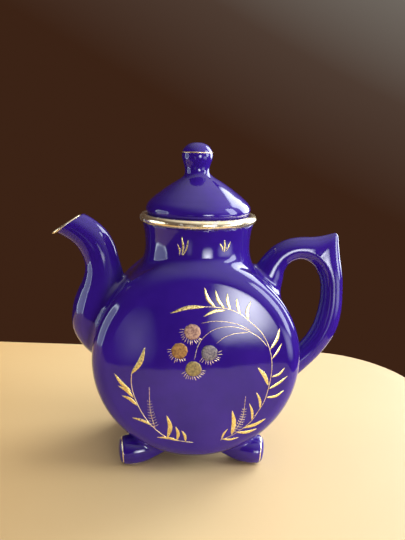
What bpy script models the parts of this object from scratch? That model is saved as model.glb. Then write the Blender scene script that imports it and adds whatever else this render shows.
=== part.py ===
"""Flask-shaped porcelain teapot: a flat round body on four splayed feet, with a lift-off domed lid.

Frame: +Z up, -Y the decorated front, +X the handle side; the origin lies on the table under the
middle of the pot. Lengths below are in millimetres and are turned into metres by MM.
"""

import math

import bmesh
import bpy
import numpy as np
from mathutils import Matrix, Vector

MM = 0.001
GAP = 0.3  # clearance between pieces that are luted together or rest on each other

# The neck stands a little off the middle, so that spout and handle reach equally far in X.
NECK_X = -3.6

# Flask body: a drum lying on its side, with a gently domed front and back.
FLASK_CENTRE_Z = 83.7
FLASK_RADIUS = 74.2
BAND_HALF = 33.5
EDGE_ROUND = 12.5
DOME_SLOPE = math.radians(10.0)
FLASK_WALL = 4.6
FLASK_STEPS = 64

# Neck: a waisted tube standing on the drum's band.
NECK_BORE = 33.2
NECK_WAIST_RADIUS = 38.2
NECK_WAIST_Z = 163.0
NECK_TOP_Z = 179.0
NECK_TOP_RADIUS = 40.4
NECK_ROOT_Z = 141.0
NECK_ROOT_RADIUS = 45.6

# Mouth rim: a thick gilded bead with a ledge inside for the lid.
BEAD_RADIUS = 3.05
BEAD_CENTRE_R = 39.25
BEAD_CENTRE_Z = NECK_TOP_Z + GAP + BEAD_RADIUS

# Lid: dome, locating flange and ball knob, all turned about the neck's axis.
LID_OUTER = (
    (10.0, 212.3), (14.2, 209.3), (21.2, 205.0), (27.0, 200.8), (32.6, 196.4),
    (36.6, 192.2), (37.8, 188.6), (36.7, 185.2), (35.6, BEAD_CENTRE_Z + GAP),
)
LID_INNER = (
    (33.1, BEAD_CENTRE_Z + GAP), (33.1, 186.8), (31.4, 192.2), (22.0, 199.4), (12.0, 204.9), (0.0, 207.6),
)
FLANGE_OUTER_RADIUS = 32.8
FLANGE_WALL = 3.2
FLANGE_BOTTOM_Z = 172.0
FLANGE_TOP_Z = 186.3
KNOB_OUTLINE = (
    (0.0, 235.2), (3.6, 234.9), (7.4, 233.2), (10.0, 230.2), (11.0, 226.8), (10.5, 223.2),
    (9.6, 220.4), (9.0, 218.2), (8.7, 216.0), (8.9, 214.2), (10.4, 212.3 + GAP),
)
KNOB_SHIFT = 2.0  # the knob was set by hand, a little off the lid's axis towards the handle
LID_STEPS = 48

# Spout: x, z, half thickness and half width of sections along a swan-necked path.
SPOUT_STATIONS = (
    (-57.0, 82.0, 14.0, 13.0), (-65.0, 91.0, 20.5, 18.0), (-69.0, 102.0, 23.8, 20.0),
    (-70.0, 113.0, 22.4, 20.5), (-69.6, 123.0, 19.6, 19.0), (-69.0, 132.0, 16.3, 16.5),
    (-69.1, 141.0, 13.8, 14.0), (-70.2, 149.0, 12.5, 12.4), (-72.5, 157.2, 12.4, 11.4),
    (-77.2, 165.3, 12.0, 10.9), (-84.0, 171.5, 11.1, 10.5), (-92.5, 176.1, 10.2, 10.0),
    (-103.0, 181.0, 9.7, 9.6),
)
SPOUT_WALL = 3.2
SPOUT_RINGS = 24
SPOUT_SIDES = 28
CHANNEL_START = 0.10  # fraction of the path where the pouring channel begins
PORT_RADIUS = 11.0
PORT_Z = 108.0
MOUTH_TIP = (-105.9, 169.3)
MOUTH_HEEL = (-85.3, 183.0)
LIP_WIDTH = 19.6
LIP_TUBE = 1.6

# Handle: x, z, half thickness and half width of sections along an ear-shaped path.
HANDLE_STATIONS = (
    (49.5, 129.0, 15.0, 11.0), (53.4, 138.8, 12.4, 9.8), (57.2, 147.5, 10.0, 9.0),
    (63.0, 155.0, 8.9, 8.6), (71.0, 159.4, 8.3, 8.4), (79.8, 160.2, 8.0, 8.3),
    (87.3, 158.0, 8.1, 8.3), (94.0, 153.0, 8.1, 8.3), (98.8, 146.4, 8.1, 8.3),
    (102.0, 138.5, 8.1, 8.3), (103.7, 126.5, 8.2, 8.3), (103.5, 112.0, 8.8, 8.5),
    (100.6, 98.0, 9.1, 8.7), (95.4, 87.6, 8.8, 8.8), (89.5, 79.6, 8.8, 8.8),
    (81.5, 71.5, 9.2, 9.0), (71.0, 62.0, 10.0, 9.4),
)
HANDLE_RINGS = 46
HANDLE_SIDES = 20
SPUR_AT = 60.0  # distance along the path to the thumb spur
SPUR_HEIGHT = 12.8
SPUR_RISE = 4.0
SPUR_FALL = 7.0

# Feet: the middle of each stub's round end, from the neck's axis; the stubs point outwards.
FEET = {
    "foot_front_left": (-54.5, -28.4),
    "foot_front_right": (51.0, -28.4),
    "foot_back_left": (-54.5, 28.4),
    "foot_back_right": (51.0, 28.4),
}
FOOT_END_Z = 9.7
FOOT_TURN = math.radians(8.0)
FOOT_DIP = math.radians(3.0)
FOOT_OUTLINE = (
    (0.0, 35.0), (3.8, 35.0), (5.8, 30.0), (8.2, 23.5), (10.2, 17.0), (11.0, 10.5), (10.9, 5.5),
    (10.1, 1.5), (8.6, -0.4), (5.0, -1.7), (0.0, -2.2),
)
FOOT_STEPS = 32

CUTTER_REACH = 60.0  # side of the block that trims the mouth, and height of the neck's bore

GLAZE_COLOUR = (0.045, 0.018, 0.22, 1.0)
GOLD_COLOUR = (0.80, 0.60, 0.28, 1.0)


def clear_scene():
    """Remove every object, so that the file holds only the teapot."""
    for item in list(bpy.data.objects):
        bpy.data.objects.remove(item, do_unlink=True)


def make_collection(name):
    collection = bpy.data.collections.new(name)
    bpy.context.scene.collection.children.link(collection)
    return collection


def make_material(name, colour, metallic, roughness):
    material = bpy.data.materials.new(name)
    material.use_nodes = True
    shader = material.node_tree.nodes["Principled BSDF"]
    shader.inputs["Base Color"].default_value = colour
    shader.inputs["Metallic"].default_value = metallic
    shader.inputs["Roughness"].default_value = roughness
    material.diffuse_color = colour
    return material


def glaze_material(name):
    """Deep cobalt glaze, glossy and dielectric."""
    return make_material(name + "_glaze", GLAZE_COLOUR, 0.0, 0.12)


def gold_material(name):
    """Bright gilding, slightly rubbed."""
    return make_material(name + "_gold", GOLD_COLOUR, 1.0, 0.25)


def smooth_curve(stations, count):
    """Points spaced evenly along a cubic Hermite curve through the stations."""
    points = np.array(stations, dtype=float)
    steps = np.linalg.norm(np.diff(points[:, :2], axis=0), axis=1)
    travel = np.concatenate(([0.0], np.cumsum(steps)))
    slopes = np.gradient(points, travel, axis=0)
    result = []
    for where in np.linspace(0.0, travel[-1], count):
        k = min(int(np.searchsorted(travel, where, side="right")) - 1, len(points) - 2)
        span = travel[k + 1] - travel[k]
        t = (where - travel[k]) / span
        near = (2 * t**3 - 3 * t**2 + 1) * points[k] + (t**3 - 2 * t**2 + t) * span * slopes[k]
        far = (3 * t**2 - 2 * t**3) * points[k + 1] + (t**3 - t**2) * span * slopes[k + 1]
        result.append(near + far)
    return np.array(result)


def link_mesh(name, mesh, collection, material=None):
    item = bpy.data.objects.new(name, mesh)
    collection.objects.link(item)
    if material:
        mesh.materials.append(material)
    return item


def mark_cutter(item):
    item.hide_render = True
    item.display_type = "WIRE"
    return item


def turned(name, outline, collection, steps, closed=False, material=None):
    """A turned piece: the outline (radius, height) runs down its outer side and is spun about Z."""
    mesh = bpy.data.meshes.new(name)
    vertices = [(radius * MM, 0.0, height * MM) for radius, height in outline]
    edges = [(k, k + 1) for k in range(len(vertices) - 1)]
    if closed:
        edges.append((len(vertices) - 1, 0))
    mesh.from_pydata(vertices, edges, [])
    item = link_mesh(name, mesh, collection, material)
    screw = item.modifiers.new("Turn", "SCREW")
    screw.axis = "Z"
    screw.steps = steps
    screw.render_steps = steps
    screw.use_merge_vertices = True
    screw.merge_threshold = 0.00001
    screw.use_smooth_shade = True
    return item


def lofted(name, rings, collection, material=None, ring_closed=False):
    """A skin over rings of equal length, capped at both ends or joined end to end."""
    mesh = bpy.data.meshes.new(name)
    cage = bmesh.new()
    loops = [[cage.verts.new(Vector(point) * MM) for point in ring] for ring in rings]
    pairs = list(zip(loops, loops[1:]))
    if ring_closed:
        pairs.append((loops[-1], loops[0]))
    for near, far in pairs:
        for k in range(len(near)):
            following = (k + 1) % len(near)
            cage.faces.new((near[k], near[following], far[following], far[k]))
    if not ring_closed:
        cage.faces.new(reversed(loops[0]))
        cage.faces.new(loops[-1])
    bmesh.ops.recalc_face_normals(cage, faces=cage.faces)
    cage.to_mesh(mesh)
    cage.free()
    mesh.shade_smooth()
    mesh.set_sharp_from_angle(angle=math.radians(40.0))
    return link_mesh(name, mesh, collection, material)


def box_cutter(name, size, collection):
    mesh = bpy.data.meshes.new(name)
    cage = bmesh.new()
    bmesh.ops.create_cube(cage, size=1.0, matrix=Matrix.Diagonal(Vector([*size, 1.0 / MM])) * MM)
    cage.to_mesh(mesh)
    cage.free()
    return mark_cutter(link_mesh(name, mesh, collection))


def rod_cutter(name, radius, length, collection, sides=40):
    mesh = bpy.data.meshes.new(name)
    cage = bmesh.new()
    bmesh.ops.create_cone(
        cage, cap_ends=True, segments=sides, radius1=radius * MM, radius2=radius * MM, depth=length * MM
    )
    cage.to_mesh(mesh)
    cage.free()
    return mark_cutter(link_mesh(name, mesh, collection))


def cut(item, cutter):
    boolean = item.modifiers.new("Cut_" + cutter.name, "BOOLEAN")
    boolean.operation = "DIFFERENCE"
    boolean.solver = "EXACT"
    boolean.object = cutter


def place(item, x, y, z):
    """Put an object at a point given in millimetres from the neck's axis at table level."""
    item.location = ((x + NECK_X) * MM, y * MM, z * MM)


def flask_outline(grow):
    """Half section of the drum, front pole to back pole, grown or shrunk by an even thickness."""
    corner = FLASK_RADIUS - EDGE_ROUND
    rounding = EDGE_ROUND + grow
    edge_r = corner + rounding * math.sin(DOME_SLOPE)
    edge_y = BAND_HALF + rounding * math.cos(DOME_SLOPE)
    sagitta = edge_r * math.tan(DOME_SLOPE) / 2.0
    front = []
    for share in (0.0, 0.25, 0.5, 0.75):
        front.append((edge_r * share, edge_y + sagitta * (1.0 - share**2)))
    for angle in np.linspace(math.pi / 2.0 - DOME_SLOPE, 0.0, 7):
        front.append((corner + rounding * math.cos(angle), BAND_HALF + rounding * math.sin(angle)))
    back = [(radius, -height) for radius, height in reversed(front)]
    return front + back


def flask_solid(name, grow, collection, material=None):
    item = turned(name, flask_outline(grow), collection, FLASK_STEPS, material=material)
    item.rotation_euler = (math.pi / 2.0, 0.0, 0.0)
    place(item, 0.0, 0.0, FLASK_CENTRE_Z)
    return item


def neck_radius(height):
    """Outer radius of the neck: two parabolas that meet at the waist."""
    if height >= NECK_WAIST_Z:
        share = (height - NECK_WAIST_Z) / (NECK_TOP_Z - NECK_WAIST_Z)
        return NECK_WAIST_RADIUS + (NECK_TOP_RADIUS - NECK_WAIST_RADIUS) * share**2
    share = (NECK_WAIST_Z - height) / (NECK_WAIST_Z - NECK_ROOT_Z)
    return NECK_WAIST_RADIUS + (NECK_ROOT_RADIUS - NECK_WAIST_RADIUS) * share**2


def neck_outline(grow=0.0):
    outer = []
    for height in np.linspace(NECK_TOP_Z, NECK_ROOT_Z, 13):
        outer.append((neck_radius(height) + grow, height))
    return outer


def bead_outline():
    """The rim's section: a round bead outside and a flat ledge inside for the lid."""
    arc = []
    for angle in np.linspace(math.pi, -math.pi / 2.0, 12):
        arc.append((BEAD_CENTRE_R + BEAD_RADIUS * math.cos(angle), BEAD_CENTRE_Z + BEAD_RADIUS * math.sin(angle)))
    return arc + [(NECK_BORE, NECK_TOP_Z + GAP), (NECK_BORE, BEAD_CENTRE_Z)]


def section_rings(path, inward, outward, width, sides):
    """Elliptical sections square to a path in the XZ plane, with unlike inner and outer halves."""
    headings = np.gradient(path, axis=0)
    rings = []
    for (x, z), heading, thin, thick, half in zip(path, headings, inward, outward, width):
        along = Vector((heading[0], 0.0, heading[1])).normalized()
        out = Vector((-along.z, 0.0, along.x))
        ring = []
        for k in range(sides):
            angle = 2.0 * math.pi * k / sides
            reach = thick if math.cos(angle) > 0.0 else thin
            centre = Vector((x + NECK_X, 0.0, z))
            ring.append(centre + out * reach * math.cos(angle) + Vector((0.0, half * math.sin(angle), 0.0)))
        rings.append(ring)
    return rings


def spout_rings(wall=0.0, skip=0):
    stations = smooth_curve(SPOUT_STATIONS, SPOUT_RINGS)[skip:]
    thickness = stations[:, 2] - wall
    return section_rings(stations[:, :2], thickness, thickness, stations[:, 3] - wall, SPOUT_SIDES)


def handle_rings():
    stations = smooth_curve(HANDLE_STATIONS, HANDLE_RINGS)
    steps = np.linalg.norm(np.diff(stations[:, :2], axis=0), axis=1)
    travel = np.concatenate(([0.0], np.cumsum(steps)))
    before = np.minimum(travel - SPUR_AT, 0.0) / SPUR_RISE
    after = np.maximum(travel - SPUR_AT, 0.0) / SPUR_FALL
    spur = SPUR_HEIGHT * np.exp(before - after)
    return section_rings(stations[:, :2], stations[:, 2], stations[:, 2] + spur, stations[:, 3], HANDLE_SIDES)


def mouth_plane():
    """Middle, slope direction, outward normal and length of the spout's oblique mouth."""
    tip = Vector((MOUTH_TIP[0], 0.0, MOUTH_TIP[1]))
    heel = Vector((MOUTH_HEEL[0], 0.0, MOUTH_HEEL[1]))
    slope = (heel - tip).normalized()
    return (tip + heel) / 2.0, slope, Vector((-slope.z, 0.0, slope.x)), (heel - tip).length


def build_flask(parts, cutters):
    """The hollow drum, open to the neck and to the spout."""
    flask = flask_solid("flask_body", 0.0, parts, glaze_material("flask_body"))
    chamber = mark_cutter(flask_solid("cut_chamber", -FLASK_WALL, cutters))
    bore = rod_cutter("cut_neck_bore", NECK_BORE, CUTTER_REACH, cutters, sides=LID_STEPS)
    place(bore, 0.0, 0.0, FLASK_CENTRE_Z + FLASK_RADIUS)
    port = rod_cutter("cut_spout_port", PORT_RADIUS, 30.0, cutters)
    port.rotation_euler = (0.0, math.pi / 2.0, 0.0)
    place(port, -FLASK_RADIUS, 0.0, PORT_Z)
    for cutter in (chamber, bore, port):
        cut(flask, cutter)
    return flask


def build_neck(parts, drum):
    outline = neck_outline() + [(NECK_BORE, NECK_ROOT_Z), (NECK_BORE, NECK_TOP_Z)]
    neck = turned("neck", outline, parts, LID_STEPS, closed=True, material=glaze_material("neck"))
    place(neck, 0.0, 0.0, 0.0)
    cut(neck, drum)
    return neck


def build_rim(parts):
    rim = turned("mouth_rim", bead_outline(), parts, LID_STEPS, closed=True, material=gold_material("mouth_rim"))
    place(rim, 0.0, 0.0, 0.0)
    return rim


def build_spout(parts, cutters, drum):
    """The hollow swan-necked spout, cut to the drum behind and to a slanting mouth in front."""
    spout = lofted("spout", spout_rings(), parts, glaze_material("spout"))
    skip = round(CHANNEL_START * SPOUT_RINGS)
    channel = mark_cutter(lofted("cut_channel", spout_rings(wall=SPOUT_WALL, skip=skip), cutters))
    middle, slope, normal, _ = mouth_plane()
    slice_off = box_cutter("cut_mouth", (CUTTER_REACH, CUTTER_REACH, CUTTER_REACH), cutters)
    slice_off.rotation_euler = (0.0, -math.atan2(slope.z, slope.x), 0.0)
    middle = middle + normal * (CUTTER_REACH / 2.0 - 2.0 * LIP_TUBE - GAP)
    place(slice_off, middle.x, 0.0, middle.z)
    for cutter in (drum, slice_off, channel):
        cut(spout, cutter)
    return spout


def build_lip(parts):
    """The gilded bead round the spout's mouth: a ring swept along the mouth's ellipse."""
    middle, slope, normal, length = mouth_plane()
    middle = middle - normal * LIP_TUBE + Vector((NECK_X, 0.0, 0.0))
    half_long = length / 2.0 - LIP_TUBE
    half_wide = LIP_WIDTH / 2.0 - LIP_TUBE
    rings = []
    for k in range(SPOUT_SIDES):
        turn = 2.0 * math.pi * k / SPOUT_SIDES
        spine = slope * half_long * math.cos(turn) + Vector((0.0, half_wide * math.sin(turn), 0.0))
        outward = (slope * half_wide * math.cos(turn) + Vector((0.0, half_long * math.sin(turn), 0.0))).normalized()
        ring = []
        for j in range(8):
            angle = 2.0 * math.pi * j / 8
            ring.append(middle + spine + LIP_TUBE * (outward * math.cos(angle) + normal * math.sin(angle)))
        rings.append(ring)
    return lofted("spout_lip", rings, parts, gold_material("spout_lip"), ring_closed=True)


def build_handle(parts, drum, neck_clearance):
    handle = lofted("handle", handle_rings(), parts, glaze_material("handle"))
    cut(handle, drum)
    cut(handle, neck_clearance)
    return handle


def build_foot(name, x, y, parts, drum, floor):
    """A stub that points outwards and a little down, with a round end and a flat sole."""
    away = Vector((
        math.copysign(math.cos(FOOT_TURN) * math.cos(FOOT_DIP), x),
        math.copysign(math.sin(FOOT_TURN) * math.cos(FOOT_DIP), y),
        -math.sin(FOOT_DIP),
    ))
    foot = turned(name, FOOT_OUTLINE, parts, FOOT_STEPS, material=glaze_material(name))
    foot.rotation_euler = (-away).to_track_quat("Z", "Y").to_euler()
    place(foot, x, y, FOOT_END_Z)
    cut(foot, drum)
    cut(foot, floor)
    return foot


def build_feet(parts, cutters, drum):
    floor = box_cutter("cut_floor", (300.0, 200.0, 40.0), cutters)
    place(floor, 0.0, 0.0, -20.0)
    return [build_foot(name, x, y, parts, drum, floor) for name, (x, y) in FEET.items()]


def lid_outline():
    outer = [(0.0, LID_OUTER[0][1])] + [tuple(p) for p in smooth_curve(LID_OUTER, 13)]
    inner = [LID_INNER[0]] + [tuple(p) for p in smooth_curve(LID_INNER[1:], 7)]
    return outer + inner


def build_lid(parts):
    """Dome, flange and knob, carried by an empty on the axis the lid is lifted along."""
    seat = bpy.data.objects.new("lid_axis", None)
    seat.empty_display_size = 0.03
    parts.objects.link(seat)
    place(seat, 0.0, 0.0, 0.0)
    dome = turned("lid_dome", lid_outline(), parts, LID_STEPS, material=glaze_material("lid_dome"))
    inner = FLANGE_OUTER_RADIUS - FLANGE_WALL
    ring = (
        (inner, FLANGE_TOP_Z), (FLANGE_OUTER_RADIUS, FLANGE_TOP_Z),
        (FLANGE_OUTER_RADIUS, FLANGE_BOTTOM_Z), (inner, FLANGE_BOTTOM_Z),
    )
    flange = turned("lid_flange", ring, parts, LID_STEPS, closed=True, material=glaze_material("lid_flange"))
    outline = [tuple(p) for p in smooth_curve(KNOB_OUTLINE, 18)] + [(0.0, KNOB_OUTLINE[-1][1])]
    knob = turned("lid_knob", outline, parts, LID_STEPS // 2, material=glaze_material("lid_knob"))
    knob.location.x = KNOB_SHIFT * MM
    for item in (dome, flange, knob):
        item.parent = seat
    return seat


def main():
    clear_scene()
    parts = make_collection("teapot")
    cutters = make_collection("teapot_cutters")
    drum = mark_cutter(flask_solid("cut_drum", GAP, cutters))
    neck_clearance = mark_cutter(turned(
        "cut_neck", [(0.0, NECK_TOP_Z)] + neck_outline(GAP) + [(0.0, NECK_ROOT_Z)], cutters, LID_STEPS
    ))
    place(neck_clearance, 0.0, 0.0, 0.0)
    build_flask(parts, cutters)
    build_neck(parts, drum)
    build_rim(parts)
    build_spout(parts, cutters, drum)
    build_lip(parts)
    build_handle(parts, drum, neck_clearance)
    build_feet(parts, cutters, drum)
    build_lid(parts)
    bpy.context.view_layer.update()


main()
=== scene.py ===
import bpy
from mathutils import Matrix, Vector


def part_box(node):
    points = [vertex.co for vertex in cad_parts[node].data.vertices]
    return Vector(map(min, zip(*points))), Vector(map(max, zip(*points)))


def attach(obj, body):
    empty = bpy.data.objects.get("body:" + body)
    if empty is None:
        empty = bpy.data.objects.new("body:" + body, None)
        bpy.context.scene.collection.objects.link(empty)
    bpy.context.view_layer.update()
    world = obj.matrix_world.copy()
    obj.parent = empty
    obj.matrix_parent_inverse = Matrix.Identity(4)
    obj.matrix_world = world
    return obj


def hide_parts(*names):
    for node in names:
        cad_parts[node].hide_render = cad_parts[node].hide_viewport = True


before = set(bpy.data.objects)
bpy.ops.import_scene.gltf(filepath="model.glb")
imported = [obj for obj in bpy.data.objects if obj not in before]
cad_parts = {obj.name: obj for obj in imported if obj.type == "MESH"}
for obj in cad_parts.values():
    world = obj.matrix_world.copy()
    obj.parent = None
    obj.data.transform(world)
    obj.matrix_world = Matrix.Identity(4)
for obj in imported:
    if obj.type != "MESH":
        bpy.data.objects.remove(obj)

"""Cobalt flask teapot with a gilt wreath: the visible pieces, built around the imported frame.

Shapes are worked out in millimetres from the neck's axis at table level (x towards the handle,
y away from the decorated face, z up) and are moved into the frame, in metres, as each mesh is made.
"""

import logging
import math
import random
from dataclasses import dataclass, field
from enum import Enum
from typing import Callable, Dict, List, Optional, Sequence, Tuple

import bpy
import numpy as np
from mathutils import Matrix, Vector

MM = 0.001
FAR_AWAY = 60.0  # distance given to points outside a limb's own block, in millimetres
LUTING = 0.3  # gap in the frame between pieces that are one in the visible model, in millimetres
BATCH = 20000  # points measured against a limb's line at a time
SECTORS = 144  # steps in a full turn of the turned pieces
POT = "pot"
LID = "lid"

Pair = Tuple[float, float]
Triple = Tuple[float, float, float]
Rows = Sequence[Sequence[float]]
Stops = Sequence[Tuple[float, Triple]]
Array = np.ndarray
Distance = Callable[[Array], Array]
Socket = bpy.types.NodeSocket
Material = bpy.types.Material
Item = bpy.types.Object
Inputs = Dict[object, object]

log = logging.getLogger("teapot")


class Side(Enum):
    """Which way along X a spray of leaves lies."""

    SPOUT = -1
    HANDLE = 1


class Skin(Enum):
    """The finishes a pot wall can carry, in the order of the mesh's material slots."""

    COBALT = 0
    WHITE = 1


# ---------------------------------------------------------------- finishes


def set_stops(ramp: bpy.types.Node, stops: Stops) -> None:
    """Set a colour ramp's positions and linear colours."""
    points = ramp.color_ramp.elements
    while len(points) < len(stops):
        points.new(0.5)
    for point, (position, colour) in zip(points, stops):
        point.position = position
        point.color = (*colour, 1.0)


class Bench:
    """A node tree laid out step by step, ending in one shader."""

    def __init__(self, name: str) -> None:
        """Open a new material with a Principled shader.

        Args:
            name: the material's name.
        """
        self.material = bpy.data.materials.new(name)
        self.material.use_nodes = True
        self.tree = self.material.node_tree
        self.shader = self.tree.nodes["Principled BSDF"]

    def node(self, kind: str, inputs: Optional[Inputs] = None, **settings: object) -> bpy.types.Node:
        """Add a node.

        Args:
            kind: Blender's node type.
            inputs: socket name or number to a fixed value or to another node's output socket.
            settings: plain properties of the node.

        Returns:
            The new node.
        """
        made = self.tree.nodes.new(kind)
        for key, value in settings.items():
            setattr(made, key, value)
        self.feed(made, inputs or {})
        return made

    def feed(self, made: bpy.types.Node, inputs: Inputs) -> None:
        """Set or link a node's sockets."""
        for key, value in inputs.items():
            if isinstance(value, Socket):
                self.tree.links.new(value, made.inputs[key])
            else:
                made.inputs[key].default_value = value

    def reckon(self, operation: str, one: object, other: object) -> Socket:
        """Combine two values."""
        return self.node("ShaderNodeMath", {0: one, 1: other}, operation=operation).outputs[0]

    def place(self) -> Socket:
        """Give the point on the piece, in metres, that patterns are drawn from."""
        return self.node("ShaderNodeTexCoord").outputs["Object"]

    def noise(self, scale: float, detail: float = 3.0, roughness: float = 0.55) -> Socket:
        """Give a cloudy pattern with that many lumps to the metre."""
        inputs = {"Vector": self.place(), "Scale": scale, "Detail": detail, "Roughness": roughness}
        return self.node("ShaderNodeTexNoise", inputs).outputs["Fac"]

    def ramp(self, value: Socket, stops: Stops) -> Socket:
        """Colour a value by stops.

        Args:
            value: the socket that drives the ramp.
            stops: position and linear colour of each stop.

        Returns:
            The ramp's colour socket.
        """
        made = self.node("ShaderNodeValToRGB", {"Fac": value})
        set_stops(made, stops)
        return made.outputs["Color"]

    def span(self, value: Socket, low: float, high: float,
             start: float = 0.3, end: float = 0.7) -> Socket:
        """Stretch a value from start..end to low..high."""
        inputs = {"Value": value, "From Min": start, "From Max": end, "To Min": low, "To Max": high}
        return self.node("ShaderNodeMapRange", inputs).outputs["Result"]

    def wear(self, inputs: Inputs) -> None:
        """Set or link the shader's own sockets."""
        self.feed(self.shader, inputs)

    def bump(self, height: Socket, depth: float,
             over: Optional[Socket] = None) -> Socket:
        """Raise the surface by a pattern, with depth in metres, on top of an earlier bump."""
        inputs: Inputs = {"Height": height, "Strength": 1.0, "Distance": depth}
        if over is not None:
            inputs["Normal"] = over
        return self.node("ShaderNodeBump", inputs).outputs["Normal"]


@dataclass(frozen=True)
class CobaltGlaze:
    """Deep cobalt under a clear, slightly wavy glaze."""

    deep: Triple = (0.022, 0.005, 0.175)
    thin: Triple = (0.038, 0.010, 0.250)
    gloss: float = 0.05
    speck_share: float = 0.6
    index: float = 1.50

    def make(self) -> Material:
        """Lay out the finish and return it."""
        bench = Bench("cobalt_glaze")
        pooling = bench.noise(26.0, 4.0)
        specks = bench.noise(900.0, 2.0, 0.7)
        colour = bench.ramp(pooling, ((0.30, self.deep), (0.72, self.thin)))
        dark = bench.ramp(specks, ((0.70, (1.0, 1.0, 1.0)), (0.78, (0.45, 0.45, 0.55))))
        inputs = {0: self.speck_share, 6: colour, 7: dark}
        mixed = bench.node("ShaderNodeMix", inputs, data_type="RGBA", blend_type="MULTIPLY")
        waves = bench.bump(bench.noise(38.0, 1.0), 0.00028)
        skin = bench.bump(bench.noise(420.0, 2.0), 0.000006, waves)
        bench.wear({
            "Base Color": mixed.outputs[2],
            "Roughness": bench.span(bench.noise(160.0), self.gloss, self.gloss + 0.05),
            "IOR": self.index,
            "Normal": skin,
        })
        return bench.material


@dataclass(frozen=True)
class WhiteGlaze:
    """Clear glaze over white porcelain, for the inside."""

    body: Triple = (0.80, 0.79, 0.75)
    shade: Triple = (0.70, 0.68, 0.63)
    iron: Triple = (0.30, 0.20, 0.12)

    def make(self) -> Material:
        """Lay out the finish and return it."""
        bench = Bench("white_glaze")
        stops = ((0.22, self.shade), (0.55, self.body), (0.80, self.body), (0.83, self.iron))
        colour = bench.ramp(bench.noise(220.0, 4.0), stops)
        bench.wear({
            "Base Color": colour,
            "Roughness": bench.span(bench.noise(120.0), 0.10, 0.22),
            "IOR": 1.5,
            "Normal": bench.bump(bench.noise(60.0, 2.0), 0.0002),
        })
        return bench.material


@dataclass(frozen=True)
class BarePorcelain:
    """Unglazed fired edge, slightly grubby."""

    body: Triple = (0.66, 0.60, 0.52)
    grime: Triple = (0.36, 0.28, 0.20)

    def make(self) -> Material:
        """Lay out the finish and return it."""
        bench = Bench("bare_porcelain")
        bench.wear({
            "Base Color": bench.ramp(bench.noise(180.0, 5.0), ((0.34, self.grime), (0.52, self.body))),
            "Roughness": bench.span(bench.noise(400.0), 0.55, 0.80),
            "Normal": bench.bump(bench.noise(1500.0), 0.00003),
        })
        return bench.material


@dataclass(frozen=True)
class FiredGold:
    """Burnished gilding, brushed on by hand and rubbed in places."""

    name: str
    bright: Triple = (1.0, 0.80, 0.32)
    dull: Triple = (0.72, 0.48, 0.16)
    rubbed: Triple = (0.07, 0.035, 0.22)
    wear_scale: float = 430.0
    wear_start: float = 0.62
    sheen: float = 0.24

    def make(self) -> Material:
        """Lay out the finish and return it."""
        bench = Bench(self.name)
        worn = bench.noise(self.wear_scale, 4.0, 0.65)
        stops = (
            (0.28, self.dull), (0.50, self.bright),
            (self.wear_start, self.bright), (self.wear_start + 0.06, self.rubbed),
        )
        metal = bench.ramp(worn, (
            (self.wear_start, (0.86, 0.86, 0.86)), (self.wear_start + 0.06, (0.20, 0.20, 0.20)),
        ))
        bench.wear({
            "Base Color": bench.ramp(worn, stops),
            "Metallic": metal,
            "Roughness": bench.span(bench.noise(700.0), self.sheen - 0.06, self.sheen + 0.14),
            "Normal": bench.bump(bench.noise(1100.0), 0.000012),
        })
        return bench.material


@dataclass(frozen=True)
class FlowerLustre:
    """A dull metallic lustre, dabbed thick and thin, for one flower head."""

    name: str
    light: Triple
    dark: Triple

    def make(self) -> Material:
        """Lay out the finish and return it."""
        bench = Bench(self.name)
        dabs = bench.noise(620.0, 5.0, 0.7)
        middle = tuple((a + b) / 2.0 for a, b in zip(self.light, self.dark))
        bench.wear({
            "Base Color": bench.ramp(dabs, ((0.36, self.dark), (0.50, middle), (0.62, self.light))),
            "Metallic": 0.45,
            "Roughness": bench.span(dabs, 0.30, 0.55),
            "Normal": bench.bump(dabs, 0.00006),
        })
        return bench.material


@dataclass(frozen=True)
class TableTop:
    """A matt table top, palest in its middle, with painted shade darkening it towards the spout's side and
    the handle's side, and a little cloudiness.
    """

    name: str
    # Colours at the spout's side, the middle and the handle's side; both sides are darker as painted shade.
    shaded_spout_side: Triple
    middle: Triple
    shaded_handle_side: Triple
    grain: float = 3.0
    run: Pair = (-0.34, 0.20)
    middle_at: float = 0.62

    def make(self) -> Material:
        """Lay out the finish and return it."""
        bench = Bench(self.name)
        along = bench.node("ShaderNodeSeparateXYZ", {"Vector": bench.place()}).outputs["X"]
        # Painted shade: the colour darkens along X towards both sides of the table.
        fade = bench.span(along, 0.0, 1.0, *self.run)
        cloud = bench.span(bench.noise(self.grain, 5.0), -0.06, 0.06)
        stops = ((0.0, self.shaded_spout_side), (self.middle_at, self.middle), (1.0, self.shaded_handle_side))
        bench.wear({
            "Base Color": bench.ramp(bench.reckon("ADD", fade, cloud), stops),
            "Roughness": 0.55,
            "IOR": 1.35,
        })
        return bench.material


class Palette:
    """Every finish of the teapot, made once."""

    def __init__(self) -> None:
        """Mix all the finishes."""
        self.cobalt = CobaltGlaze().make()
        self.white = WhiteGlaze().make()
        self.bare = BarePorcelain().make()
        self.band_gold = FiredGold(
            "band_gold", bright=(1.0, 0.86, 0.60), dull=(0.90, 0.68, 0.36), rubbed=(0.78, 0.73, 0.66),
            wear_scale=120.0, wear_start=0.58, sheen=0.14
        ).make()
        self.leaf_gold = FiredGold("leaf_gold").make()
        self.line_gold = FiredGold("line_gold", bright=(0.95, 0.74, 0.44), dull=(0.62, 0.44, 0.28)).make()
        self.lustres = [
            FlowerLustre("rose_lustre", (0.55, 0.33, 0.22), (0.15, 0.06, 0.06)).make(),
            FlowerLustre("amber_lustre", (0.52, 0.27, 0.07), (0.17, 0.07, 0.03)).make(),
            FlowerLustre("slate_lustre", (0.30, 0.25, 0.22), (0.045, 0.035, 0.08)).make(),
            FlowerLustre("olive_lustre", (0.44, 0.32, 0.11), (0.13, 0.09, 0.05)).make(),
        ]


# ---------------------------------------------------------------- shaping tools


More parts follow.
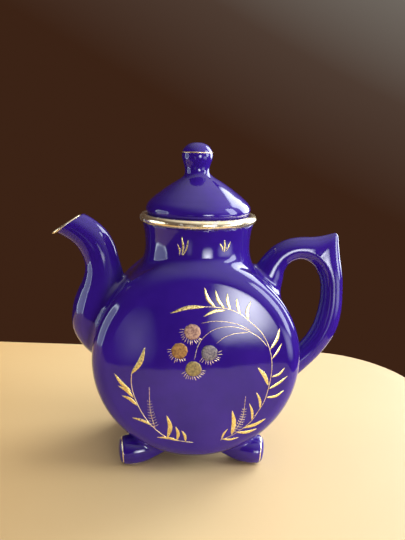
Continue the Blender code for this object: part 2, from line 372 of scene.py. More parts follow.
def travelled(points: Array) -> Array:
    """Give how far along a line each of its points lies."""
    return np.concatenate(([0.0], np.cumsum(np.linalg.norm(np.diff(points, axis=0), axis=1))))


def hermite(stations: Rows, count: int = 0, spread: int = 2, step: float = 1.0) -> Array:
    """Run a smooth line through stations.

    Args:
        stations: rows of which the first numbers are the point and the rest are sizes there.
        count: how many rows to return, or none to go by the step.
        spread: how many numbers of a row make its point.
        step: about how far apart the rows lie when no count is given.

    Returns:
        Rows spaced evenly along the line.
    """
    points = np.array(stations, dtype=float)
    travel = travelled(points[:, :spread])
    slopes = np.gradient(points, travel, axis=0)
    rows = []
    for where in np.linspace(0.0, travel[-1], count or max(int(travel[-1] / step) + 1, 4)):
        k = min(int(np.searchsorted(travel, where, side="right")) - 1, len(points) - 2)
        span = travel[k + 1] - travel[k]
        t = (where - travel[k]) / span
        near = (2 * t**3 - 3 * t**2 + 1) * points[k] + (t**3 - 2 * t**2 + t) * span * slopes[k]
        rest = (3 * t**2 - 2 * t**3) * points[k + 1] + (t**3 - t**2) * span * slopes[k + 1]
        rows.append(near + rest)
    return np.array(rows)


def join_round(one: Array, other: Array, fillet: float) -> Array:
    """Join two bodies with a hollow fillet of that radius."""
    reach = np.hypot(np.maximum(fillet - one, 0.0), np.maximum(fillet - other, 0.0))
    return np.maximum(fillet, np.minimum(one, other)) - reach


def keep_round(one: Array, other: Array, edge: float) -> Array:
    """Keep what lies in both bodies, with the edge between them rounded to that radius."""
    reach = np.hypot(np.maximum(edge + one, 0.0), np.maximum(edge + other, 0.0))
    return np.minimum(-edge, np.maximum(one, other)) + reach


@dataclass
class Limb:
    """A body swept along a smooth line: spout, handle, or half the section of a turned stub."""

    stations: Rows
    samples: int = 200
    rows: Array = field(init=False, repr=False)

    def __post_init__(self) -> None:
        """Lay out the line once."""
        self.rows = hermite(self.stations, self.samples)
        line = self.rows[:, :2]
        heading = np.gradient(line, axis=0)
        self.heading = heading / np.linalg.norm(heading, axis=1)[:, None]
        self.travel = travelled(line)
        self.slopes = np.gradient(self.rows[:, 2:], self.travel, axis=0)
        turning = np.unwrap(np.arctan2(self.heading[:, 1], self.heading[:, 0]))
        self.bend = np.gradient(turning, self.travel)

    def nearest(self, u: Array, v: Array) -> Tuple[Array, Array, Array]:
        """Find where points lie along and beside the line.

        Args:
            u: first coordinate of the points.
            v: second coordinate of the points.

        Returns:
            Travel along the line, offset to its left, and the sizes there.
        """
        travel, offset = np.empty(len(u)), np.empty(len(u))
        sizes = np.empty((len(u), self.rows.shape[1] - 2))
        line = self.rows[:, :2]
        for start in range(0, len(u), BATCH):
            part = slice(start, start + BATCH)
            gap_u = u[part, None] - line[None, :, 0]
            gap_v = v[part, None] - line[None, :, 1]
            k = np.argmin(gap_u**2 + gap_v**2, axis=1)
            row = np.arange(len(k))
            du, dv, along = gap_u[row, k], gap_v[row, k], self.heading[k]
            ahead = du * along[:, 0] + dv * along[:, 1]
            beside = dv * along[:, 0] - du * along[:, 1]
            inner = (k > 0) & (k < len(line) - 1)
            ahead = np.where(inner, ahead / np.maximum(1.0 - self.bend[k] * beside, 0.3), ahead)
            travel[part] = self.travel[k] + ahead
            offset[part] = beside
            sizes[part] = self.rows[k, 2:] + self.slopes[k] * ahead[:, None]
        return travel, offset, sizes

    def length(self) -> float:
        """Give the length of the line."""
        return float(self.travel[-1])


def ellipse_distance(across: Array, beside: Array, half_across: Array, half_beside: Array) -> Array:
    """Give the distance to an ellipse's edge, near enough for shaping."""
    first = np.hypot(across / half_across, beside / half_beside)
    second = np.hypot(across / half_across**2, beside / half_beside**2)
    return first * (first - 1.0) / np.maximum(second, 1e-6)


def belts(rings: int, sides: int, closed: bool, start: int = 0) -> List[List[int]]:
    """Give the faces between neighbouring rings of equal size.

    Args:
        rings: how many rings there are.
        sides: how many vertices each has.
        closed: whether the last ring joins the first.
        start: number of the first ring's first vertex.

    Returns:
        Vertex numbers of each face.
    """
    faces = []
    for k in range(rings if closed else rings - 1):
        near, far = start + k * sides, start + (k + 1) % rings * sides
        for j in range(sides):
            beside = (j + 1) % sides
            faces.append([near + j, far + j, far + beside, near + beside])
    return faces


def in_block(points: Array, low: Sequence[float], high: Sequence[float], shape: Distance) -> Array:
    """Work out a shape only inside its own block, and call it far away elsewhere."""
    result = np.full(len(points), FAR_AWAY)
    inside = np.all((points > np.array(low)) & (points < np.array(high)), axis=1)
    if inside.any():
        result[inside] = shape(points[inside])
    return result


def gradient(shape: Distance, points: Array, step: float = 0.04) -> Array:
    """Give the unit outward direction of a shape at points."""
    rows = []
    for axis in range(3):
        shift = np.zeros(3)
        shift[axis] = step
        rows.append(shape(points + shift) - shape(points - shift))
    normals = np.stack(rows, axis=1) / (2.0 * step)
    return normals / np.maximum(np.linalg.norm(normals, axis=1), 1e-6)[:, None]


def settle(shape: Distance, points: Array, rounds: int = 2) -> Tuple[Array, Array]:
    """Drop points onto a shape's surface.

    Args:
        shape: the distance to the surface.
        points: points near it.
        rounds: how many corrections to make.

    Returns:
        The points on the surface and the outward directions there.
    """
    normals = gradient(shape, points)
    for _ in range(rounds):
        points = points - normals * shape(points)[:, None]
        normals = gradient(shape, points)
    return points, normals


class Net:
    """A closed skin drawn over a shape by a grid of cells."""

    def __init__(self, shape: Distance, low: Sequence[float], high: Sequence[float], cell: float) -> None:
        """Draw the skin.

        Args:
            shape: the distance to the surface, negative inside.
            low: lowest corner of the block to search.
            high: highest corner of the block.
            cell: side of a grid cell.
        """
        self.shape = shape
        axes = [np.arange(a, b + cell, cell) for a, b in zip(low, high)]
        mesh = np.stack(np.meshgrid(*axes, indexing="ij"), axis=-1)
        values = shape(mesh.reshape(-1, 3)).reshape(mesh.shape[:3])
        self.points, self.quads = self.weave(values, np.array(low, dtype=float), cell)

    @staticmethod
    def weave(values: Array, low: Array, cell: float) -> Tuple[Array, Array]:
        """Place one vertex in each cell that the surface crosses, and a face round each crossed edge."""
        inside = values < 0.0
        corners = [np.array([(n >> 2) & 1, (n >> 1) & 1, n & 1]) for n in range(8)]
        span = [s - 1 for s in values.shape]

        def at(grid: Array, corner: Array) -> Array:
            """Give the grid's values at one corner of every cell."""
            return grid[tuple(slice(c, c + s) for c, s in zip(corner, span))]

        count = sum(at(inside, c).astype(np.int8) for c in corners)
        crossed = (count > 0) & (count < 8)
        index = np.argwhere(crossed)
        number = np.full(crossed.shape, -1, dtype=np.int64)
        number[crossed] = np.arange(len(index))
        total, hits = np.zeros((len(index), 3)), np.zeros(len(index))
        for one in range(8):
            for other in range(one + 1, 8):
                if np.abs(corners[one] - corners[other]).sum() != 1:
                    continue
                a = at(values, corners[one])[crossed]
                b = at(values, corners[other])[crossed]
                cut = (a < 0.0) != (b < 0.0)
                share = np.where(cut, a / np.where(cut, a - b, 1.0), 0.0)
                spot = corners[one] + share[:, None] * (corners[other] - corners[one])
                total += np.where(cut[:, None], spot, 0.0)
                hits += cut
        points = low + (index + total / hits[:, None]) * cell
        quads = []
        for axis in range(3):
            u, v = (axis + 1) % 3, (axis + 2) % 3
            first = [slice(None)] * 3
            second = [slice(None)] * 3
            first[axis], second[axis] = slice(0, -1), slice(1, None)
            starts = inside[tuple(first)]
            spots = np.argwhere(starts != inside[tuple(second)])
            rings = []
            for du, dv in ((-1, -1), (0, -1), (0, 0), (-1, 0)):
                cells = spots.copy()
                cells[:, u] += du
                cells[:, v] += dv
                rings.append(number[cells[:, 0], cells[:, 1], cells[:, 2]])
            ring = np.stack(rings, axis=1)
            flip = ~starts[tuple(spots.T)]
            ring[flip] = ring[flip][:, ::-1]
            quads.append(ring)
        return points, np.concatenate(quads)

    def relax(self, rounds: int) -> None:
        """Even out the vertices along the surface, and drop them back onto it."""
        edges = np.concatenate([self.quads[:, [k, (k + 1) % 4]] for k in range(4)])
        degree = np.bincount(edges.ravel(), minlength=len(self.points)).astype(float)
        for _ in range(rounds):
            total = np.zeros_like(self.points)
            for axis in range(3):
                total[:, axis] = (
                    np.bincount(edges[:, 0], self.points[edges[:, 1], axis], len(self.points))
                    + np.bincount(edges[:, 1], self.points[edges[:, 0], axis], len(self.points))
                )
            pull = total / degree[:, None] - self.points
            normals = gradient(self.shape, self.points)
            pull -= normals * np.sum(pull * normals, axis=1)[:, None]
            self.points = self.points + 0.6 * pull
            self.points -= normals * self.shape(self.points)[:, None]
        self.points, self.normals = settle(self.shape, self.points, 1)


class Maker:
    """Turns lists of points, in millimetres from the neck's axis, into pieces in the frame."""

    def __init__(self, neck_x: float) -> None:
        """Remember where the neck's axis stands, in metres."""
        self.neck_x = neck_x

    def piece(self, name: str, points: Array, faces: Sequence[Sequence[int]],
              finishes: Sequence[Material], body: str, slot: str,
              replaces: Sequence[str] = (), sharp: Optional[float] = None) -> Item:
        """Make a piece, dress it and set it on its body.

        Args:
            name: the piece's name.
            points: vertices in millimetres.
            faces: vertex numbers of each face.
            finishes: its materials, in slot order.
            body: the frame body it rides on.
            slot: the record's material slot; not used.
            replaces: frame nodes it stands for.
            sharp: angle in degrees above which an edge stays crisp.

        Returns:
            The new piece.
        """
        place = np.asarray(points, dtype=float) * MM
        place[:, 0] += self.neck_x
        mesh = bpy.data.meshes.new(name)
        mesh.from_pydata(place.tolist(), [], [list(map(int, ring)) for ring in faces])
        mesh.validate()
        mesh.shade_smooth()
        if sharp is not None:
            mesh.set_sharp_from_angle(angle=math.radians(sharp))
        item = bpy.data.objects.new(name, mesh)
        bpy.context.scene.collection.objects.link(item)
        for finish in finishes:
            mesh.materials.append(finish)
        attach(item, body)
        if replaces:
            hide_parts(*replaces)
        log.info("%s: %d faces on %s", name, len(mesh.polygons), body)
        return item

    def turned(self, name: str, outline: Sequence[Pair], finishes: Sequence[Material], body: str,
               slot: str, closed: bool = False, replaces: Sequence[str] = (),
               sharp: Optional[float] = 32.0) -> Item:
        """Spin an outline about the neck's axis.

        Args:
            name: the piece's name.
            outline: radius and height of its points, running down the outer side.
            finishes: its materials, in slot order.
            body: the frame body it rides on.
            slot: the record's material slot.
            closed: whether the outline ends where it starts.
            replaces: frame nodes it stands for.
            sharp: angle in degrees above which an edge stays crisp.

        Returns:
            The new piece.
        """
        points: List[Triple] = []
        rings: List[List[int]] = []
        for radius, height in outline:
            if radius < 1e-6:
                rings.append([len(points)] * SECTORS)
                points.append((0.0, 0.0, height))
                continue
            rings.append(list(range(len(points), len(points) + SECTORS)))
            for k in range(SECTORS):
                angle = 2.0 * math.pi * k / SECTORS
                points.append((radius * math.cos(angle), radius * math.sin(angle), height))
        pairs = list(zip(rings, rings[1:])) + ([(rings[-1], rings[0])] if closed else [])
        faces = []
        for upper, lower in pairs:
            for k in range(SECTORS):
                after = (k + 1) % SECTORS
                ring = [upper[k], lower[k], lower[after], upper[after]]
                faces.append([v for n, v in enumerate(ring) if v not in ring[:n]])
        return self.piece(name, np.array(points), faces, finishes, body, slot, replaces, sharp)


# ---------------------------------------------------------------- the pot


@dataclass
class Drum:
    """The flat round body, lying with its axis along Y, its two faces gently domed."""

    middle_z: float
    radius: float
    face_y: float
    edge: float = 12.5
    slope: float = math.radians(10.0)

    def fall(self) -> float:
        """Give how fast the domed face falls away, per square millimetre from its middle."""
        return math.tan(self.slope) / (2.0 * (self.radius - self.edge * (1.0 - math.sin(self.slope))))

    def distance(self, points: Array) -> Array:
        """Give the distance from points to the drum's outside."""
        radius = np.hypot(points[:, 0], points[:, 2] - self.middle_z)
        fall = self.fall()
        face = np.abs(points[:, 1]) - (self.face_y - fall * radius**2)
        return keep_round(radius - self.radius, face / np.hypot(1.0, 2.0 * fall * radius), self.edge)


@dataclass
class Neck:
    """The waisted tube that stands on the drum's band."""

    top_z: float
    top_radius: float
    waist_z: float = 163.0
    waist_radius: float = 38.2
    root_z: float = 141.0
    root_radius: float = 45.6
    bore: float = 33.2
    bore_start: float = 118.0
    drum_z: float = 83.7
    drum_radius: float = 74.2
    rooting: float = 6.0
    top_edge: float = 0.5
    least_rise: float = 20.0

    def distance(self, points: Array) -> Array:
        """Give the distance from points to the neck's outside."""
        reach = np.hypot(points[:, 0], points[:, 1])
        height = np.maximum(points[:, 2], self.root_z)
        above = np.maximum(height - self.waist_z, 0.0) / (self.top_z - self.waist_z)
        below = np.maximum(self.waist_z - height, 0.0) / (self.waist_z - self.root_z)
        swell, flare = self.top_radius - self.waist_radius, self.root_radius - self.waist_radius
        wall = self.waist_radius + swell * above**2 + flare * below**2
        steep = swell * above / (self.top_z - self.waist_z) - flare * below / (self.waist_z - self.root_z)
        side = (reach - wall) / np.hypot(1.0, 2.0 * steep)
        band = np.sqrt(np.maximum(self.drum_radius**2 - points[:, 0] ** 2, self.least_rise**2))
        root = self.drum_z + band - self.rooting
        return np.maximum(keep_round(side, points[:, 2] - self.top_z, self.top_edge), root - points[:, 2])

    def hollow(self, points: Array) -> Array:
        """Give the distance from points to the bore."""
        return np.maximum(np.hypot(points[:, 0], points[:, 1]) - self.bore, self.bore_start - points[:, 2])


@dataclass
class Spout:
    """The swan-necked spout: x, z, half thickness and half width of its sections."""

    stations: Rows = (
        (-57.0, 82.0, 14.0, 13.0), (-65.0, 91.0, 20.5, 18.0), (-69.0, 102.0, 23.8, 20.0),
        (-70.0, 113.0, 22.4, 20.5), (-69.6, 123.0, 19.6, 19.0), (-69.0, 132.0, 16.3, 16.5),
        (-69.1, 141.0, 13.8, 14.0), (-70.2, 149.0, 12.5, 12.4), (-72.5, 157.2, 12.4, 11.4),
        (-77.2, 165.3, 12.0, 10.9), (-84.0, 171.5, 11.1, 10.5), (-92.5, 176.1, 10.2, 10.0),
        (-103.0, 181.0, 9.7, 9.6),
    )
    wall: float = 3.2
    channel_start: float = 0.10
    port_radius: float = 11.0
    port_z: float = 108.0
    port_run: Pair = (-77.0, -55.0)
    port_fillet: float = 2.0
    tip: Pair = (-105.9, 169.3)
    heel: Pair = (-85.3, 183.0)
    lip: float = 1.6
    lip_thickness: float = 0.9
    low: Triple = (-122.0, -34.0, 58.0)
    high: Triple = (-28.0, 34.0, 196.0)

    def __post_init__(self) -> None:
        """Lay out the spout's line and its slanting mouth."""
        self.limb = Limb(self.stations)
        tip, heel = np.array(self.tip), np.array(self.heel)
        self.middle = (tip + heel) / 2.0
        self.mouth_length = float(np.linalg.norm(heel - tip))
        self.along = (heel - tip) / self.mouth_length
        self.out = np.array((-self.along[1], self.along[0]))

    def above_mouth(self, points: Array) -> Array:
        """Give how far points stand out beyond the mouth's plane."""
        x, z = points[:, 0] - self.middle[0], points[:, 2] - self.middle[1]
        return x * self.out[0] + z * self.out[1]

    def swept(self, points: Array, wall: float, start: float) -> Array:
        """Give the distance to the swept form, thinned by a wall and starting part of the way along."""
        travel, offset, sizes = self.limb.nearest(points[:, 0], points[:, 2])
        thick, wide = np.maximum(sizes - wall, 1.0).T
        return np.maximum(ellipse_distance(offset, points[:, 1], thick, wide), start - travel)

    def distance(self, points: Array) -> Array:
        """Give the distance from points to the spout's outside."""
        return in_block(points, self.low, self.high, lambda p: self.swept(p, 0.0, 0.0))

    def hollow(self, points: Array) -> Array:
        """Give the distance from points to the pouring channel and the port behind it."""
        return in_block(points, self.low, self.high, self.channel)

    def channel(self, points: Array) -> Array:
        """Give the channel and the port, blended."""
        bored = self.swept(points, self.wall, self.channel_start * self.limb.length())
        port = np.hypot(points[:, 1], points[:, 2] - self.port_z) - self.port_radius
        port = np.maximum(port, np.maximum(self.port_run[0] - points[:, 0], points[:, 0] - self.port_run[1]))
        return join_round(bored, port, self.port_fillet)

    def lip_bead(self, maker: Maker, palette: Palette, sectors: int = 96, sides: int = 16) -> Item:
        """Build the gilded bead that runs round the mouth.

        Args:
            maker: makes the piece.
            palette: the finishes.
            sectors: steps round the mouth.
            sides: steps round the bead.

        Returns:
            The bead.
        """
        low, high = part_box("spout_lip")
        half_wide = (high.y - low.y) / MM / 2.0 - self.lip
        half_long = self.mouth_length / 2.0 - self.lip
        along = np.array((self.along[0], 0.0, self.along[1]))
        out = np.array((self.out[0], 0.0, self.out[1]))
        middle = np.array((self.middle[0], 0.0, self.middle[1])) - out * self.lip_thickness
        points = []
        for k in range(sectors):
            turn = 2.0 * math.pi * k / sectors
            spine = along * half_long * math.cos(turn) + np.array((0.0, half_wide * math.sin(turn), 0.0))
            away = along * half_wide * math.cos(turn) + np.array((0.0, half_long * math.sin(turn), 0.0))
            away /= np.linalg.norm(away)
            for j in range(sides):
                angle = 2.0 * math.pi * j / sides
                reach = away * self.lip * math.cos(angle) + out * self.lip_thickness * math.sin(angle)
                points.append(middle + spine + reach)
        faces = belts(sectors, sides, True)
        return maker.piece("spout_lip_bead", np.array(points), faces, [palette.band_gold], POT, "spout_lip",
                           ["spout_lip"])


@dataclass
class Handle:
    """The ear-shaped handle with a pointed thumb spur: x, z, half thickness and half width."""

    stations: Rows = (
        (49.5, 129.0, 15.0, 11.0), (53.4, 138.8, 12.4, 9.8), (57.2, 147.5, 10.0, 9.0),
        (63.0, 155.0, 8.9, 8.6), (71.0, 159.4, 8.3, 8.4), (79.8, 160.2, 8.0, 8.3),
        (87.3, 158.0, 8.1, 8.3), (94.0, 153.0, 8.1, 8.3), (98.8, 146.4, 8.1, 8.3),
        (102.0, 138.5, 8.1, 8.3), (103.7, 126.5, 8.2, 8.3), (103.5, 112.0, 8.8, 8.5),
        (100.6, 98.0, 9.1, 8.7), (95.4, 87.6, 8.8, 8.8), (89.5, 79.6, 8.8, 8.8),
        (81.5, 71.5, 9.2, 9.0), (71.0, 62.0, 10.0, 9.4),
    )
    samples: int = 280
    spur_at: float = 60.0
    spur_height: float = 12.8
    spur_rise: float = 4.0
    spur_fall: float = 7.0
    spur_round: float = 1.2
    spur_slimming: float = 0.30
    low: Triple = (24.0, -26.0, 36.0)
    high: Triple = (130.0, 26.0, 188.0)

    def __post_init__(self) -> None:
        """Lay out the handle's line."""
        self.limb = Limb(self.stations, self.samples)

    def swept(self, points: Array) -> Array:
        """Give the distance to the handle's form."""
        travel, offset, sizes = self.limb.nearest(points[:, 0], points[:, 2])
        past = travel - self.spur_at
        soft = np.hypot(past, self.spur_round) - self.spur_round
        reach = np.where(past < 0.0, self.spur_rise, self.spur_fall)
        share = np.where(offset > 0.0, np.exp(-soft / reach), 0.0)
        thick = sizes[:, 0] + self.spur_height * share
        wide = sizes[:, 1] * np.sqrt(1.0 - self.spur_slimming * share)
        ends = np.maximum(-travel, travel - self.limb.length())
        return np.maximum(ellipse_distance(offset, points[:, 1], thick, wide), ends)

    def distance(self, points: Array) -> Array:
        """Give the distance from points to the handle."""
        return in_block(points, self.low, self.high, self.swept)


@dataclass
class Foot:
    """A turned stub that points outwards, with a domed end and a flat sole."""

    x: float
    y: float
    end_z: float = 9.7
    turn: float = math.radians(8.0)
    dip: float = math.radians(3.0)
    reach: float = 34.0
    samples: int = 160
    outline: Sequence[Pair] = (
        (0.0, -2.2), (5.0, -1.7), (8.6, -0.4), (10.1, 1.5), (10.9, 5.5), (11.0, 10.5),
        (10.2, 17.0), (8.2, 23.5), (5.8, 30.0), (3.8, 35.0), (0.0, 37.0),
    )

    def __post_init__(self) -> None:
        """Lay out the stub's axis and its section."""
        self.away = np.array((
            math.copysign(math.cos(self.turn) * math.cos(self.dip), self.x),
            math.copysign(math.sin(self.turn) * math.cos(self.dip), self.y),
            -math.sin(self.dip),
        ))
        self.end = np.array((self.x, self.y, self.end_z))
        self.section = Limb(self.outline, self.samples)

    def swept(self, points: Array) -> Array:
        """Give the distance to the whole turned form, before its sole is cut."""
        gap = points - self.end
        inward = -gap @ self.away
        reach = np.linalg.norm(gap + inward[:, None] * self.away, axis=1)
        return -self.section.nearest(reach, inward)[1]

    def distance(self, points: Array) -> Array:
        """Give the distance from points to the stub."""
        middle = self.end - self.away * self.reach / 2.0
        return in_block(points, middle - self.reach, middle + self.reach, self.swept)

    def around(self, inward: float, angle: float) -> Array:
        """Give a point on the stub's skin, by distance from its end and angle round its axis from the top."""
        side = np.cross(self.away, (0.0, 0.0, 1.0))
        side /= np.linalg.norm(side)
        top = np.cross(side, self.away)
        spin = side * math.sin(angle) + top * math.cos(angle)
        return self.end - self.away * inward + spin * self.radius_at(inward)

    def radius_at(self, inward: float) -> float:
        """Give the stub's radius at a distance from its end."""
        return float(np.interp(inward, [p[1] for p in self.outline], [p[0] for p in self.outline]))

    def angle_at(self, inward: float, height: float) -> float:
        """Give the angle from the top at which the stub's skin lies at a height."""
        drop = height - self.end_z + self.away[2] * inward
        return math.acos(min(max(drop / (self.radius_at(inward) * math.cos(self.dip)), -1.0), 1.0))


class Pot:
    """The whole slip-cast pot: drum, neck, spout, handle and feet under one glaze."""

    WALL = 4.6
    CELL = 1.25
    ROUNDS = 5
    LOW = (-109.0, -54.0, -2.6)
    HIGH = (117.0, 54.0, 182.5)
    NECK_FILLET = 4.0
    SPOUT_FILLET = 5.0
    HANDLE_FILLET = 4.5
    FOOT_FILLET = 4.0
    BORE_FILLET = 3.0
    PORT_FILLET = 1.5
    SOLE_EDGE = 0.7
    LIP_EDGE = 0.8
    WALL_EDGE = 1.0
    SKIN = 1.3  # faces this near the hollow are white
    BLUE_MOUTH = 11.0  # how far the cobalt runs down inside the spout's mouth

    def __init__(self) -> None:
        """Take the main sizes from the frame."""
        low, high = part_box("flask_body")
        rim_low, rim_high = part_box("mouth_rim")
        radius = (high.x - low.x) / MM / 2.0
        self.neck_x = (rim_low.x + rim_high.x) / 2.0
        self.drum = Drum(low.z / MM + radius, radius, (high.y - low.y) / MM / 2.0)
        self.neck = Neck(rim_low.z / MM + LUTING, 40.4, drum_z=self.drum.middle_z, drum_radius=radius)
        self.spout = Spout()
        self.handle = Handle()
        self.feet = {
            "foot_front_left": Foot(-54.5, -28.4), "foot_front_right": Foot(51.0, -28.4),
            "foot_back_left": Foot(-54.5, 28.4), "foot_back_right": Foot(51.0, 28.4),
        }

    def hollow(self, points: Array) -> Array:
        """Give the distance from points to everything that holds or carries tea."""
        chamber = self.drum.distance(points) + self.WALL
        chamber = join_round(chamber, self.neck.hollow(points), self.BORE_FILLET)
        return join_round(chamber, self.spout.hollow(points), self.PORT_FILLET)

    def outside(self, points: Array) -> Array:
        """Give the distance from points to the pot's outer form, with its fillets."""
        form = join_round(self.drum.distance(points), self.neck.distance(points), self.NECK_FILLET)
        form = join_round(form, self.spout.distance(points), self.SPOUT_FILLET)
        form = join_round(form, self.handle.distance(points), self.HANDLE_FILLET)
        for foot in self.feet.values():
            form = join_round(form, foot.distance(points), self.FOOT_FILLET)
        return keep_round(form, -points[:, 2], self.SOLE_EDGE)

    def distance(self, points: Array) -> Array:
        """Give the distance from points to the pot's wall."""
        cut = self.spout.above_mouth(points) + self.spout.lip_thickness
        form = keep_round(self.outside(points), cut, self.LIP_EDGE)
        return keep_round(form, -self.hollow(points), self.WALL_EDGE)

    def build(self, maker: Maker, palette: Palette) -> Item:
        """Draw the skin over the whole form and dress it.

        Args:
            maker: makes the piece.
            palette: the finishes.

        Returns:
            The pot's skin.
        """
        net = Net(self.distance, self.LOW, self.HIGH, self.CELL)
        net.relax(self.ROUNDS)
        nodes = ["flask_body", "neck", "spout", "handle", *self.feet]
        item = maker.piece("pot_skin", net.points, net.quads, [palette.cobalt, palette.white], POT,
                           "flask_body", nodes)
        mesh = item.data
        middles = net.points[net.quads].mean(axis=1)
        within = (self.hollow(middles) < self.SKIN) & (self.spout.above_mouth(middles) < -self.BLUE_MOUTH)
        if len(mesh.polygons) == len(within):
            mesh.polygons.foreach_set("material_index", np.where(within, Skin.WHITE.value, Skin.COBALT.value))
        if len(mesh.vertices) == len(net.normals):
            mesh.normals_split_custom_set_from_vertices(net.normals.tolist())
        return item


@dataclass
class MouthBead:
    """The thick gilded bead round the mouth, with a ledge inside for the lid."""

    sides: int = 22
    edge: float = 0.5
    gilt_share: float = 0.96

    def build(self, pot: Pot, maker: Maker, palette: Palette) -> Item:
        """Turn the bead.

        Args:
            pot: gives the bore.
            maker: makes the piece.
            palette: the finishes.

        Returns:
            The bead.
        """
        low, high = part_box("mouth_rim")
        radius = (high.z - low.z) / MM / 2.0
        centre_r = (high.x - low.x) / MM / 2.0 - radius
        centre_z = (high.z + low.z) / MM / 2.0
        outline = []
        for angle in np.linspace(math.pi, -math.pi / 2.0, self.sides):
            outline.append((centre_r + radius * math.cos(angle), centre_z + radius * math.sin(angle)))
        bore, ledge, bottom, edge = pot.neck.bore, pot.neck.bore + self.edge, low.z / MM, self.edge
        outline += [(ledge, bottom), (bore, bottom + edge), (bore, centre_z - edge), (ledge, centre_z)]
        item = maker.turned("mouth_bead", outline, [palette.band_gold, palette.cobalt], POT, "mouth_rim",
                            closed=True, replaces=["mouth_rim"])
        mesh = item.data
        for face in mesh.polygons:
            reach = math.hypot(face.center.x - pot.neck_x, face.center.y) / MM
            face.material_index = 1 if reach < centre_r - radius * self.gilt_share else 0
        return item


@dataclass
class Lid:
    """The domed lid with its egg-shaped knob and the ring that locates it in the mouth."""

    outer: Sequence[Pair] = (
        (0.0, 235.2), (3.6, 234.9), (7.4, 233.2), (10.0, 230.2), (11.0, 226.8), (10.5, 223.2), (9.6, 220.4),
        (9.0, 218.2), (8.7, 216.0), (9.0, 213.9), (11.0, 211.5), (14.4, 209.3), (21.2, 205.0), (27.0, 200.8),
        (32.6, 196.4), (36.6, 192.2), (37.8, 188.6), (36.7, 185.2), (35.6, 182.9),
    )
    inner: Sequence[Pair] = (
        (33.1, 182.9), (33.1, 186.8), (31.4, 192.2), (22.0, 199.4), (12.0, 204.9), (0.0, 207.6),
    )
    outer_points: int = 120
    inner_points: int = 30
    flange_outer: float = 32.8
    flange_wall: float = 3.2
    flange_top: float = 186.3
    knob_line_z: float = 228.4
    line_width: float = 0.8
    knob_lean: Pair = (208.5, 216.0)

    def build(self, maker: Maker, palette: Palette) -> List[Item]:
        """Turn the lid's three pieces.

        Args:
            maker: makes the pieces.
            palette: the finishes.

        Returns:
            The lid's pieces.
        """
        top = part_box("lid_knob")[1].z / MM
        outline = [tuple(p) for p in hermite(self.outer, self.outer_points)]
        outline[0] = (0.0, top)
        outer_count = len(outline)
        outline += [tuple(p) for p in hermite(self.inner, self.inner_points)]
        outline[-1] = (0.0, self.inner[-1][1])
        finishes = [palette.cobalt, palette.white, palette.bare]
        skin = maker.turned("lid_skin", outline, finishes, LID, "lid_dome", replaces=["lid_dome", "lid_knob"])
        self.dress_underside(skin, outer_count)
        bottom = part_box("lid_flange")[0].z / MM
        inside, outside = self.flange_outer - self.flange_wall, self.flange_outer
        ring = [
            (inside, self.flange_top), (outside, self.flange_top), (outside, bottom + 1.4),
            (outside - 0.4, bottom + 0.4), (outside - 1.2, bottom), (inside + 1.0, bottom),
            (inside + 0.2, bottom + 0.5), (inside, bottom + 1.4),
        ]
        flange = maker.turned("lid_ring", ring, [palette.bare], LID, "lid_flange", closed=True,
                              replaces=["lid_flange"])
        line = self.knob_line(outline, maker, palette)
        for item in (skin, line):
            self.set_knob_over(item, maker.neck_x)
        return [skin, flange, line]

    def set_knob_over(self, item: Item, neck_x: float) -> None:
        """Shift what lies above the dome to where the knob was set, a little off the axis."""
        low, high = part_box("lid_knob")
        shift = (low.x + high.x) / 2.0 - neck_x * MM
        start, end = self.knob_lean
        for vertex in item.data.vertices:
            share = min(max((vertex.co.z / MM - start) / (end - start), 0.0), 1.0)
            vertex.co.x += shift * share * share * (3.0 - 2.0 * share)

    def dress_underside(self, skin: Item, outer_count: int) -> None:
        """Give the underside its white glaze and the seat its bare edge."""
        for number, face in enumerate(skin.data.polygons):
            row = number // SECTORS
            if row >= outer_count:
                face.material_index = 1
            elif row >= outer_count - 2:
                face.material_index = 2

    def knob_line(self, outline: Sequence[Pair], maker: Maker, palette: Palette) -> Item:
        """Lay the thin gold line round the knob."""
        half = self.line_width / 2.0
        knob = [(z, r) for r, z in outline[1:] if z > self.knob_lean[1]]
        heights, radii = [z for z, r in reversed(knob)], [r for z, r in reversed(knob)]
        band = []
        for share, lift in ((1.0, -0.08), (0.8, 0.08), (0.0, 0.12), (-0.8, 0.08), (-1.0, -0.08)):
            z = self.knob_line_z + half * share
            band.append((float(np.interp(z, heights, radii)) + lift, z))
        band.append((band[2][0] - 0.4, self.knob_line_z))
        return maker.turned("knob_gold_line", band, [palette.line_gold], LID, "lid_knob", closed=True,
                            sharp=None)


# ---------------------------------------------------------------- gilding


@dataclass
class Stroke:
    """One pull of the brush: points on the ware and how wide the gold lies along them."""

    points: Array
    widths: Array


